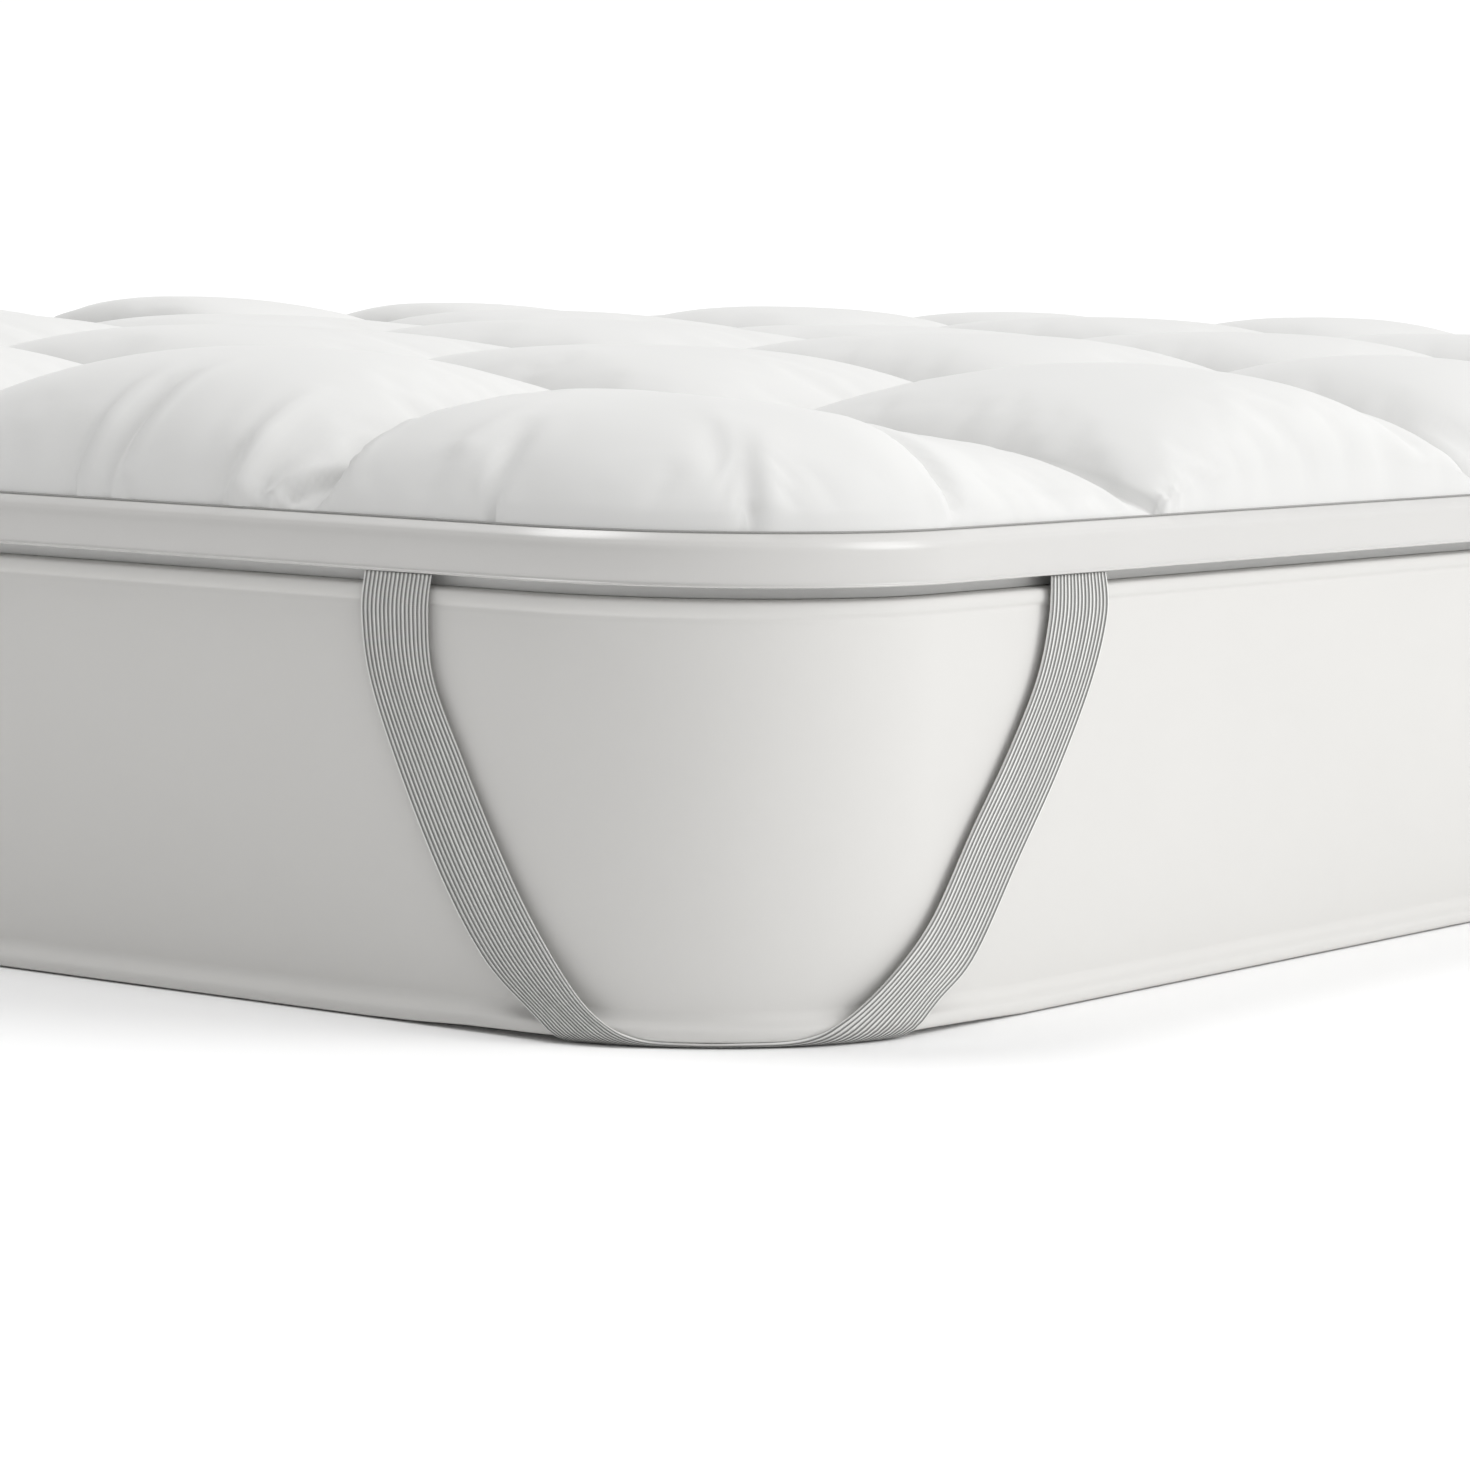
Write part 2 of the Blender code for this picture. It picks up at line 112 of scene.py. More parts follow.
# Pad
PAD_INSET = 0.0010
PAD_RECESS = 0.0100
PAD_SIDE = (
    # inset, height
    (PAD_INSET, BAND_BOTTOM + 0.001), (PAD_RECESS, BAND_BOTTOM + 0.0005), (PAD_RECESS, PAD_BOTTOM),
)
PAD_SHARP_ANGLE = 75.0
INNER_RISE = 0.028
INNER_START = 0.27
INNER_FADE = 0.23
RIM_LEVEL = BAND_TOP - 0.0012
SEAM_LEVEL = BAND_TOP + 0.022
CREST_LEVEL = BAND_TOP + 0.075
CORNER_DROP = 0.013
UNEVEN = 0.003
UNEVEN_WAVE = (2.3, 1.7, 0.6)
FLOOR_REACH = 0.130
RIM_POWER = 2.2
SEAMS_ALONG = (0.0, 0.346, 0.692, 1.033, 1.358, 1.683, 2.0)
SEAMS_ACROSS = (0.0, 0.273, 0.592, 0.900, 1.200, 1.500)

# Each puff's dome. The first row is that of every puff without a row of its own.
PUFF_SHAPES = {
    # crest share along, crest share across, power, fullness, rise, rim fullness, rim reach
    None: (0.42, 0.50, 2.4, 0.70, 0.0, 0.56, 0.150),
    (2, 4): (0.30, 0.50, 2.4, 0.70, 0.0, 0.56, 0.150),
    (3, 4): (0.28, 0.50, 2.4, 0.70, 0.0, 0.56, 0.150),
    (4, 4): (0.30, 0.50, 2.4, 0.70, 0.0, 0.56, 0.150),
    (5, 4): (0.37, 0.50, 2.4, 0.70, 0.0, 0.56, 0.150),
    (0, 0): (0.2925, 0.7498, 4.02, 0.619, -0.0038, 0.582, 0.188),
    (0, 1): (0.3783, 0.4578, 2.39, 0.658, -0.0022, 0.591, 0.156),
    (1, 0): (0.5756, 0.4903, 2.05, 0.365, -0.0043, 0.332, 0.176),
}

# Folds of the puffs, measured from the bed's end and side where X and Y are lowest.
# A negative depth is a ridge.
FOLDS = (
    # along, across, heading, length, spread, depth
    (0.161, 0.000, 66.0, 0.13, 0.010, 0.011),
    (0.262, -0.05, 90.0, 0.45, 0.066, 0.018),
    (0.640, -0.05, 90.0, 0.45, 0.050, 0.010),
    (0.130, 0.000, 75.0, 0.11, 0.022, -0.004),
    (0.037, 0.041, 52.0, 0.10, 0.009, 0.003),
    (0.000, 0.157, 25.0, 0.09, 0.010, 0.004),
    (0.000, 0.259, -24.0, 0.15, 0.015, -0.006),
    (0.000, 0.324, -14.0, 0.10, 0.010, 0.001),
    (0.000, 0.410, 4.0, 0.09, 0.012, 0.004),
)

# Small creases and ridges, pressed into the settled cloth along its normal
CREASES = (
    # along, across, heading, length, spread, depth
    (0.000, 0.458, 4.0, 0.030, 0.0040, -0.0022),
    (0.000, 0.427, 0.0, 0.085, 0.0038, -0.0044),
    (0.000, 0.435, 0.0, 0.080, 0.0045, 0.0028),
    (0.000, 0.401, -4.0, 0.100, 0.0038, -0.0044),
    (0.000, 0.409, -4.0, 0.090, 0.0045, 0.0028),
    (0.000, 0.352, 8.0, 0.070, 0.0080, 0.0016),
    (0.000, 0.322, 4.0, 0.080, 0.0065, -0.0060),
    (0.000, 0.334, 4.0, 0.070, 0.0060, 0.0022),
    (0.000, 0.311, -18.0, 0.075, 0.0045, 0.0036),
    (0.000, 0.302, -36.0, 0.075, 0.0038, -0.0044),
    (0.000, 0.292, -36.0, 0.070, 0.0045, 0.0032),
    (0.000, 0.267, -36.0, 0.040, 0.0028, -0.0030),
    (0.016, 0.254, -10.0, 0.075, 0.0030, -0.0028),
    (0.000, 0.250, 4.0, 0.090, 0.0080, -0.0014),
    (0.030, 0.200, 0.0, 0.070, 0.0060, -0.0020),
    (0.000, 0.163, 20.0, 0.050, 0.0036, 0.0040),
    (0.000, 0.153, 20.0, 0.060, 0.0060, -0.0022),
    (0.040, 0.038, 40.0, 0.070, 0.0060, 0.0030),
    (0.047, 0.030, 40.0, 0.070, 0.0080, -0.0022),
    (0.161, 0.000, 64.0, 0.120, 0.0048, 0.0044),
    (0.150, 0.000, 66.0, 0.120, 0.0055, -0.0026),
    (0.346, 0.000, 92.0, 0.022, 0.0045, 0.0036),
    (0.356, 0.000, 100.0, 0.026, 0.0040, -0.0040),
    (0.363, 0.000, 116.0, 0.024, 0.0030, 0.0018),
    (0.369, 0.000, 130.0, 0.026, 0.0030, -0.0024),
    (0.376, 0.000, 120.0, 0.020, 0.0030, 0.0020),
)
PLEAT_OFFSET = 0.045
PLEAT_LENGTH = 0.085
PLEAT_SPREAD = 0.012
PLEAT_DEPTH = 0.006
PLEAT_LEAN = 12.0
PLEAT_SCATTER = 0.3
PLEAT_WAVE_ALONG = 3.1
PLEAT_WAVE_ACROSS = 2.3
FOLD_START_SHARE = 0.125
FOLD_RIM_HOLD = 0.02
CREASE_RIM_HOLD = 0.003

# Grid steps in each puff, finest in the puffs that are seen close
STEPS_ALONG = (72, 56, 32, 26, 24, 24)
STEPS_ACROSS = (66, 70, 34, 28, 26)

# Elastic straps
STRAP_THICK = 0.0016
STRAP_RIBS = 16
RIB_DEPTH = 0.0010
RIB_STEPS = 6
RIB_POWER = 0.6
STRAP_STATIONS = 150
STRAP_STANDOFF = 0.0024
STRAP_EDGE_CLEARANCE = 0.0023
STRAP_TURN_RADIUS = 0.0076
STRAP_FLOOR_GAP = 0.0005
STRAP_TURN_HEIGHT = STRAP_FLOOR_GAP + STRAP_THICK + STRAP_TURN_RADIUS
STRAP_SLACK_HEIGHT = 0.050
STRAP_TOP = BAND_BOTTOM - 0.0003
STRAP_CUT_WIDTH = 0.040
STRAP_ROUTE = (
    # near_along, near_drop, far_along, far_drop
    (-0.163, STRAP_TOP, -0.204, STRAP_TOP),
    (-0.165, 0.1990, -0.206, 0.1970),
    (-0.161, 0.1680, -0.200, 0.1650),
    (-0.142, 0.1300, -0.180, 0.1200),
    (-0.121, 0.0920, -0.153, 0.0710),
    (-0.096, 0.0520, -0.127, 0.0360),
    (-0.070, 0.0180, -0.098, 0.0130),
    (-0.046, 0.0040, -0.068, -0.0130),
    (-0.020, 0.0012, -0.040, -0.0300),
    (0.004, 0.0016, 0.006, -0.0360),
    (0.030, 0.0030, 0.052, -0.0300),
    (0.054, 0.0130, 0.076, -0.0130),
    (0.083, 0.0340, 0.112, 0.0140),
    (0.112, 0.0600, 0.146, 0.0340),
    (0.141, 0.0960, 0.184, 0.0790),
    (0.172, 0.1320, 0.219, 0.1210),
    (0.197, 0.1670, 0.248, 0.1640),
    (0.207, 0.1960, 0.261, 0.1970),
    (0.208, STRAP_TOP, 0.258, STRAP_TOP),
)

# Camera, from the photo's perspective. Angles are in radians.
CAMERA_PLACE = (-2.9359, -2.1277, 0.3886)
CAMERA_YAW = 0.6238
CAMERA_DOWN = 0.0981
CAMERA_ROLL = 0.02
CAMERA_LENS = 127.83
SENSOR = 36.0

# Light. The world is dim on one side and bright on the other.
WORLD_BRIGHT_SIDE = (0.69, -0.52, -0.35)
WORLD_FADE = (-0.84, 0.16)
WORLD_DARK = 0.20
WORLD_BRIGHT = 1.06
SUNS = (
    # name, direction to the light, energy, angle in degrees
    ("key", (0.46, -0.74, 0.60), 1.07, 30.0),
    ("top", (-0.12, 0.40, 0.90), 1.12, 24.0),
)

# Cloth simulation of the quilted top, of which only the small wrinkles are kept
SIM_FRAMES = 18
SIM_PRESSURE = 3.0
SIM_EXTRA_CLOTH = 0.030
SIM_MOVE_LIMIT = 0.010
SIM_BLUR = 0.035
SIM_SHARE = 0.42
CLOTH = {
    "quality": 5,
    "mass": 0.15,
    "tension_stiffness": 12.0,
    "compression_stiffness": 12.0,
    "shear_stiffness": 4.0,
    "bending_stiffness": 0.6,
    "tension_damping": 8.0,
    "compression_damping": 8.0,
    "shear_damping": 8.0,
    "air_damping": 3.0,
    "use_pressure": True,
    "uniform_pressure_force": SIM_PRESSURE,
    "shrink_min": -SIM_EXTRA_CLOTH,
}

# Fabrics
FABRICS = {
    # dark, light, roughness, thread pitch, weave bump, soft bump, sheen
    "ticking": ((0.658, 0.650, 0.632), (0.688, 0.680, 0.662), 0.85, 0.0007, 0.04, 0.04, 0.05),
    "microfibre": ((0.684, 0.683, 0.673), (0.714, 0.713, 0.703), 0.80, 0.0006, 0.04, 0.06, 0.15),
    "trim": ((0.582, 0.574, 0.559), (0.612, 0.604, 0.589), 0.42, 0.0007, 0.03, 0.03, 0.05),
    "seam_thread": ((0.24, 0.24, 0.23), (0.46, 0.46, 0.45), 0.80, 0.0006, 0.10, 0.05, 0.0),
}
TRIM_COAT = {"Coat Weight": 0.9, "Coat Roughness": 0.28, "Coat IOR": 1.5}
# Elastic colours. The dark groove colour is painted shade between the cords; the rib colour is the
# webbing's own.
ELASTIC_GROOVE_SHADE = (0.13, 0.13, 0.126)
ELASTIC_RIB = (0.85, 0.85, 0.83)
# How far across each cord the painted groove shade reaches
ELASTIC_GROOVE_SHADE_REACH = 0.42
ELASTIC_PICK = 0.0009

# Stage
FLOOR_HALF = 90
FLOOR_ALBEDO = (0.95, 0.95, 0.95)


def new_object(name, data):
    made = bpy.data.objects.new(name, data)
    bpy.context.scene.collection.objects.link(made)
    return made


def mesh_from(name, points, faces, smooth=True):
    mesh = bpy.data.meshes.new(name)
    mesh.from_pydata([tuple(p) for p in points], [], faces)
    mesh.validate()
    mesh.update()
    if smooth:
        mesh.shade_smooth()
    return mesh


def outward_normals(mesh):
    shape = bmesh.new()
    shape.from_mesh(mesh)
    bmesh.ops.recalc_face_normals(shape, faces=shape.faces)
    shape.to_mesh(mesh)
    shape.free()


# Materials


class Nodes:
    """A short way to add and join shader nodes in one material."""

    def __init__(self, name, colour, roughness):
        self.material = bpy.data.materials.new(name)
        self.material.use_nodes = True
        self.tree = self.material.node_tree
        self.shader = self.tree.nodes["Principled BSDF"]
        self.shader.inputs["Base Color"].default_value = (*colour, 1.0)
        self.shader.inputs["Roughness"].default_value = roughness

    def add(self, kind, **settings):
        node = self.tree.nodes.new(kind)
        for key, value in settings.items():
            setattr(node, key, value)
        return node

    def join(self, source, target):
        self.tree.links.new(source, target)

    def place(self, scale=(1.0, 1.0, 1.0), uv=False):
        spot = self.add("ShaderNodeTexCoord")
        mapping = self.add("ShaderNodeMapping")
        mapping.inputs["Scale"].default_value = scale
        self.join(spot.outputs["UV" if uv else "Object"], mapping.inputs["Vector"])
        return mapping.outputs["Vector"]

    def noise(self, vector, scale, detail, roughness):
        node = self.add("ShaderNodeTexNoise")
        node.inputs["Scale"].default_value = scale
        node.inputs["Detail"].default_value = detail
        node.inputs["Roughness"].default_value = roughness
        self.join(vector, node.inputs["Vector"])
        return node.outputs["Fac"]

    def wave(self, vector, scale, direction):
        node = self.add("ShaderNodeTexWave", wave_type="BANDS", bands_direction=direction)
        node.inputs["Scale"].default_value = scale
        node.inputs["Distortion"].default_value = 0.0
        self.join(vector, node.inputs["Vector"])
        return node.outputs["Fac"]

    def math(self, operation, first, second):
        node = self.add("ShaderNodeMath", operation=operation)
        for value, socket in ((first, node.inputs[0]), (second, node.inputs[1])):
            if isinstance(value, (int, float)):
                socket.default_value = value
            else:
                self.join(value, socket)
        return node.outputs[0]

    def between(self, factor, dark, light):
        node = self.add("ShaderNodeMix", data_type="RGBA")
        node.inputs["A"].default_value = (*dark, 1.0)
        node.inputs["B"].default_value = (*light, 1.0)
        self.join(factor, node.inputs["Factor"])
        return node.outputs["Result"]

    def spread(self, factor, low, high):
        node = self.add("ShaderNodeMapRange")
        node.inputs["To Min"].default_value = low
        node.inputs["To Max"].default_value = high
        self.join(factor, node.inputs["Value"])
        return node.outputs["Result"]

    def bump(self, height, strength, distance, after=None):
        node = self.add("ShaderNodeBump")
        node.inputs["Strength"].default_value = strength
        node.inputs["Distance"].default_value = distance
        self.join(height, node.inputs["Height"])
        if after is not None:
            self.join(after, node.inputs["Normal"])
        return node.outputs["Normal"]


def bands_scale(pitch):
    """The wave texture's scale that gives one band to each pitch, in metres."""
    return 2.0 * math.pi / (20.0 * pitch)


def weave_height(nodes, pitch):
    """A fine plain weave in object space, the same on every side."""
    vector = nodes.place()
    scale = bands_scale(pitch)
    rows = nodes.wave(vector, scale, "X")
    lines = nodes.wave(vector, scale, "Y")
    levels = nodes.wave(vector, scale, "Z")
    return nodes.math("ADD", nodes.math("ADD", rows, lines), levels)


def fabric(name, dark, light, roughness, pitch, weave_bump, soft_bump, sheen):
    nodes = Nodes(name, light, roughness)
    vector = nodes.place()
    mottle = nodes.noise(vector, 9.0, 4.0, 0.55)
    fine = nodes.noise(vector, 900.0, 2.0, 0.6)
    broad_part = nodes.math("MULTIPLY", mottle, 0.7)
    fine_part = nodes.math("MULTIPLY", fine, 0.3)
    factor = nodes.math("ADD", broad_part, fine_part)
    sockets = nodes.shader.inputs
    nodes.join(nodes.between(factor, dark, light), sockets["Base Color"])
    nodes.join(nodes.spread(fine, roughness - 0.06, roughness + 0.06), sockets["Roughness"])
    soft = nodes.bump(nodes.noise(vector, 60.0, 3.0, 0.5), soft_bump, 0.002)
    weave = nodes.bump(weave_height(nodes, pitch), weave_bump, 0.0002, soft)
    nodes.join(weave, sockets["Normal"])
    sockets["Sheen Weight"].default_value = sheen
    sockets["Sheen Roughness"].default_value = 0.5
    sockets["Specular IOR Level"].default_value = 0.25
    return nodes.material


def elastic_fabric(name):
    """Ribbed webbing. The UV map runs across the ribs in x and along them in y, in metres."""
    nodes = Nodes(name, (0.66, 0.66, 0.645), 0.7)
    vector = nodes.place(uv=True)
    picks = nodes.wave(vector, bands_scale(ELASTIC_PICK), "Y")
    cords = nodes.add("ShaderNodeTexWave", wave_type="BANDS", bands_direction="X")
    cords.inputs["Scale"].default_value = bands_scale(STRAP_CUT_WIDTH / STRAP_RIBS)
    cords.inputs["Phase Offset"].default_value = -math.pi / 2.0
    nodes.join(vector, cords.inputs["Vector"])
    # Painted shade: the grooves between the cords are darkened in the colour, on top of the ribs'
    # real shape
    groove_shade = nodes.add("ShaderNodeMapRange")
    groove_shade.inputs["From Max"].default_value = ELASTIC_GROOVE_SHADE_REACH
    nodes.join(cords.outputs["Fac"], groove_shade.inputs["Value"])
    wear = nodes.noise(nodes.place((600.0, 10.0, 1.0), uv=True), 1.0, 2.0, 0.5)
    fine = nodes.noise(nodes.place(), 1200.0, 2.0, 0.6)
    factor = nodes.math("MULTIPLY", groove_shade.outputs["Result"], nodes.spread(wear, 0.55, 1.25))
    sockets = nodes.shader.inputs
    nodes.join(nodes.between(factor, ELASTIC_GROOVE_SHADE, ELASTIC_RIB), sockets["Base Color"])
    thread = nodes.bump(picks, 0.25, 0.0002)
    nodes.join(nodes.bump(fine, 0.3, 0.0003, thread), sockets["Normal"])
    sockets["Sheen Weight"].default_value = 0.1
    return nodes.material


# Outlines


def rounded_outline(inset, radius, side_steps):
    """A rounded rectangle's points, counter-clockwise, with as many on each long and short side."""
    reach_x = LENGTH / 2.0 - inset - radius
    reach_y = WIDTH / 2.0 - inset - radius
    points = []
    corners = ((1, 1), (-1, 1), (-1, -1), (1, -1))
    for corner, (sign_x, sign_y) in enumerate(corners):
        for step in range(ARC_STEPS + 1):
            turn = math.radians(90.0 * (corner + step / ARC_STEPS))
            x = sign_x * reach_x + radius * math.cos(turn)
            y = sign_y * reach_y + radius * math.sin(turn)
            points.append((x, y))
        next_x, next_y = corners[(corner + 1) % 4]
        turn = math.radians(90.0 * (corner + 1))
        start_x, start_y = points[-1]
        end_x = next_x * reach_x + radius * math.cos(turn)
        end_y = next_y * reach_y + radius * math.sin(turn)
        for step in range(1, side_steps):
            share = step / side_steps
            x = start_x + (end_x - start_x) * share
            y = start_y + (end_y - start_y) * share
            points.append((x, y))
    return points


def outline_point(along, outward):
    """A place on the outline, measured from a corner's middle, from that corner's square."""
    half_arc = CORNER_RADIUS * math.pi / 4.0
    if along > half_arc:
        return CORNER_RADIUS + along - half_arc, -outward
    if along < -half_arc:
        return -outward, CORNER_RADIUS - along - half_arc
    turn = math.radians(225.0) + along / CORNER_RADIUS
    reach = CORNER_RADIUS + outward
    return CORNER_RADIUS + reach * math.cos(turn), CORNER_RADIUS + reach * math.sin(turn)


def loft(name, rings, closed=False):
    """A skin through rings of equal counts, capped at its ends or closed on itself."""
    count = len(rings[0])
    points = [point for ring in rings for point in ring]
    faces = []
    last = len(rings) if closed else len(rings) - 1
    for r in range(last):
        low = r * count
        high = ((r + 1) % len(rings)) * count
        for k in range(count):
            after = (k + 1) % count
            faces.append((low + k, low + after, high + after, high + k))
    if not closed:
        faces.append(tuple(range(count))[::-1])
        faces.append(tuple((len(rings) - 1) * count + k for k in range(count)))
    mesh = mesh_from(name, points, faces)
    outward_normals(mesh)
    return mesh


def sweep_round(name, section):
    """A strip swept round the outline. The section holds outward distances and heights."""
    outline = rounded_outline(0.0, CORNER_RADIUS, BAND_SIDE_STEPS)
    count = len(outline)
    rings = []
    for k, (x, y) in enumerate(outline):
        direction = (Vector(outline[(k + 1) % count]) - Vector(outline[k - 1])).normalized()
        normal = Vector((direction.y, -direction.x))
        rings.append([(x + normal.x * out, y + normal.y * out, z) for out, z in section])
    return new_object(name, loft(name, rings, closed=True))


# Mattress


def side_drop(x, y):
    """How much lower the bottom roll lies along the straight sides than at the corners."""
    reach = max(LENGTH / 2.0 - abs(x), WIDTH / 2.0 - abs(y))
    share = min(max((reach - CORNER_REACH) / DROP_FADE, 0.0), 1.0)
    return SIDE_DROP * share * share * (3.0 - 2.0 * share)


def build_mattress(finish):
    sections = list(BASE_PANEL)
    for rise, inset in LOW_ROLL:
        sections.append((BASE_RISE + rise, inset, CORNER_RADIUS - inset))
    low_rise, low_inset = LOW_ROLL[-1]
    wall_low = BASE_RISE + low_rise
    wall_high = MATTRESS_TOP - HIGH_ROLL[0][0]
    for step in range(1, WALL_STEPS):
        share = 0.5 - 0.5 * math.cos(math.pi * step / WALL_STEPS)
        height = wall_low + (wall_high - wall_low) * share
        inset = WALL_INSET + (low_inset - WALL_INSET) * math.exp(-(height - wall_low) / WALL_EASE)
        sections.append((height, inset, CORNER_RADIUS - inset))
    for drop, inset in HIGH_ROLL:
        sections.append((MATTRESS_TOP - drop, inset, CORNER_RADIUS - inset))
    rings = []
    for height, inset, radius in sections:
        follow = min(max((DROP_TOP - height) / DROP_TAPER, 0.0), 1.0)
        if height < BASE_RISE:
            follow = 0.0
        ring = []
        for x, y in rounded_outline(inset, radius, WALL_SIDE_STEPS):
            ring.append((x, y, height - follow * side_drop(x, y)))
        rings.append(ring)
    piece = new_object("mattress_cover", loft("mattress_cover", rings))
    piece.data.materials.append(finish)
    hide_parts("mattress")
    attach(piece, "root")


# Band


def build_band(finish):
    height = BAND_TOP - BAND_BOTTOM
    section = [(BAND_INNER, BAND_INNER_LOW)]
    for share, outward in BAND_PROFILE:
        section.append((outward, BAND_BOTTOM + height * share))
    section.append((BAND_INNER, BAND_INNER_HIGH))
    piece = sweep_round("band_strip", section)
    piece.data.materials.append(finish)
    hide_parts("border_band")
    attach(piece, "root")


def build_rim_seam(finish):
    """The thin dark line of the seam between the band and the puffs."""
    section = []
    for step in range(THREAD_SIDES):
        turn = 2.0 * math.pi * step / THREAD_SIDES
        outward = THREAD_OUTWARD + THREAD_RADIUS * math.cos(turn)
        section.append((outward, THREAD_HEIGHT + THREAD_RADIUS * math.sin(turn)))
    piece = sweep_round("rim_seam", section)
    piece.data.materials.append(finish)
    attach(piece, "root")


# Pad


def rim_distance(x, y, inset):
    radius = CORNER_RADIUS - inset
    past_x = np.abs(x) - (LENGTH / 2.0 - inset - radius)
    past_y = np.abs(y) - (WIDTH / 2.0 - inset - radius)
    outside = np.hypot(np.maximum(past_x, 0.0), np.maximum(past_y, 0.0))
    return radius - outside - np.minimum(np.maximum(past_x, past_y), 0.0)


def cell_of(position, seams):
    found = np.searchsorted(np.asarray(seams), position, side="right") - 1
    return np.clip(found, 0, len(seams) - 2)


def puff_numbers(column, row):
    """The seven dome numbers of the puff that holds each point."""
    table = np.empty((len(SEAMS_ALONG) - 1, len(SEAMS_ACROSS) - 1, 7))
    table[:] = PUFF_SHAPES[None]
    for cell, numbers in PUFF_SHAPES.items():
        if cell is not None:
            table[cell] = numbers
    return np.moveaxis(table[column, row], -1, 0)


def dome(position, seams, cell, crest_share, power, fullness):
    """A puff's height across it, from 0 on the seams to 1 at its crest."""
    lines = np.asarray(seams)
    share = np.clip((position - lines[cell]) / (lines[cell + 1] - lines[cell]), 1e-9, 1.0)
    across = 2.0 * share ** (math.log(0.5) / np.log(crest_share)) - 1.0
    across = np.where(cell == 0, np.maximum(across, 0.0), across)
    across = np.where(cell == len(lines) - 2, np.minimum(across, 0.0), across)
    return (1.0 - np.abs(across) ** power) ** fullness


def crest_height(column, row):
    at_end = (column == 0) | (column == len(SEAMS_ALONG) - 2)
    at_side = (row == 0) | (row == len(SEAMS_ACROSS) - 2)
    per_column, per_row, start = UNEVEN_WAVE
    wave = np.sin(per_column * column + per_row * row + start)
    return CREST_LEVEL - CORNER_DROP * (at_end & at_side) + UNEVEN * wave


def fold_change(along, across, fold):
    """How far one fold lowers each point."""
    start_along, start_across, heading, length, spread, depth = fold
    turn = math.radians(heading)
    past_along = along - start_along
    past_across = across - start_across
    forward = past_along * math.cos(turn) + past_across * math.sin(turn)
    sideways = past_across * math.cos(turn) - past_along * math.sin(turn)
    fade_out = np.clip(1.0 - forward / length, 0.0, 1.0)
    fade_in = np.clip(1.0 + forward / (length * FOLD_START_SHARE), 0.0, 1.0)
    return depth * fade_in * fade_out * np.exp(-(sideways / spread) ** 2)


def rim_pleats():
    """Short pleats beside the seams' ends, but not the two ends nearest the photo's corner."""
    pleats = []
    size = (PLEAT_LENGTH, PLEAT_SPREAD, PLEAT_DEPTH)
    for number, seam in enumerate(SEAMS_ALONG[1:-1]):
        for side in (-1, 1):
            scatter = 1.0 + PLEAT_SCATTER * math.sin(PLEAT_WAVE_ALONG * number + side)
            offset = seam + side * PLEAT_OFFSET * scatter
            lean = 90.0 + side * PLEAT_LEAN
            if number > 0:
                pleats.append((offset, 0.0, lean, *size))
            pleats.append((offset, WIDTH, -lean, *size))
    for number, seam in enumerate(SEAMS_ACROSS[1:-1]):
        for side in (-1, 1):
            scatter = 1.0 + PLEAT_SCATTER * math.sin(PLEAT_WAVE_ACROSS * number - side)
            offset = seam + side * PLEAT_OFFSET * scatter
            lean = -side * PLEAT_LEAN
            if number > 0:
                pleats.append((0.0, offset, lean, *size))
            pleats.append((LENGTH, offset, 180.0 - lean, *size))
    return pleats


def pad_height(x, y, inset):
    """The height of the quilted top: domes over a floor, drawn down at the rim, with its folds."""
    along = x + LENGTH / 2.0
    across = y + WIDTH / 2.0
    distance = np.clip(rim_distance(x, y, inset), 0.0, None)
    column, row = cell_of(along, SEAMS_ALONG), cell_of(across, SEAMS_ACROSS)
    numbers = puff_numbers(column, row)
    crest_along, crest_across, power, fullness, rise, rim_fullness, rim_reach = numbers
    profile = dome(along, SEAMS_ALONG, column, crest_along, power, fullness)
    profile = profile * dome(across, SEAMS_ACROSS, row, crest_across, power, fullness)
    rim = (1.0 - np.clip(1.0 - distance / rim_reach, 0.0, 1.0) ** RIM_POWER) ** rim_fullness
    inward = np.clip(distance / FLOOR_REACH, 0.0, 1.0)
    floor = RIM_LEVEL + (SEAM_LEVEL - RIM_LEVEL) * inward * (2.0 - inward)
    middle = np.clip((distance - INNER_START) / INNER_FADE, 0.0, 1.0)
    floor = floor + INNER_RISE * middle * middle * (3.0 - 2.0 * middle)
    height = floor + (crest_height(column, row) + rise - floor) * profile * rim
    hold = np.clip(distance / FOLD_RIM_HOLD, 0.0, 1.0)
    change = np.zeros_like(height)
    for fold in list(FOLDS) + rim_pleats():
        change += fold_change(along, across, fold)
    return np.maximum(height - hold * change * rim ** 0.5, RIM_LEVEL)


def spaced_lines(seams, steps, inset):
    """Grid lines that are closest together beside each sewn line, with the sewn lines' numbers."""
    lines = [0.0]
    sewn = []
    for start, end, count in zip(seams, seams[1:], steps):
        for step in range(1, count + 1):
            share = 0.5 - 0.5 * math.cos(math.pi * step / count)
            lines.append(start + (end - start) * (0.5 * share + 0.5 * step / count))
        sewn.append(len(lines) - 1)
    half = seams[-1] / 2.0
    placed = np.array([(line / half - 1.0) * (half - inset) for line in lines])
    return placed, sewn[:-1]


def round_corners(x, y, inset):
    """Pulls a rectangular grid's corners in to the pad's rounded outline."""
    radius = CORNER_RADIUS - inset
    straight_x = LENGTH / 2.0 - inset - radius
    straight_y = WIDTH / 2.0 - inset - radius
    past_x = np.abs(x) - straight_x
    past_y = np.abs(y) - straight_y
    inside = (past_x > 0.0) & (past_y > 0.0)
    reach = np.where(inside, np.hypot(past_x, past_y), 1.0)
    pull = np.where(inside, np.maximum(past_x, past_y) / np.maximum(reach, 1e-9), 1.0)
    new_x = np.where(inside, np.sign(x) * (straight_x + past_x * pull), x)
    new_y = np.where(inside, np.sign(y) * (straight_y + past_y * pull), y)
    return new_x, new_y


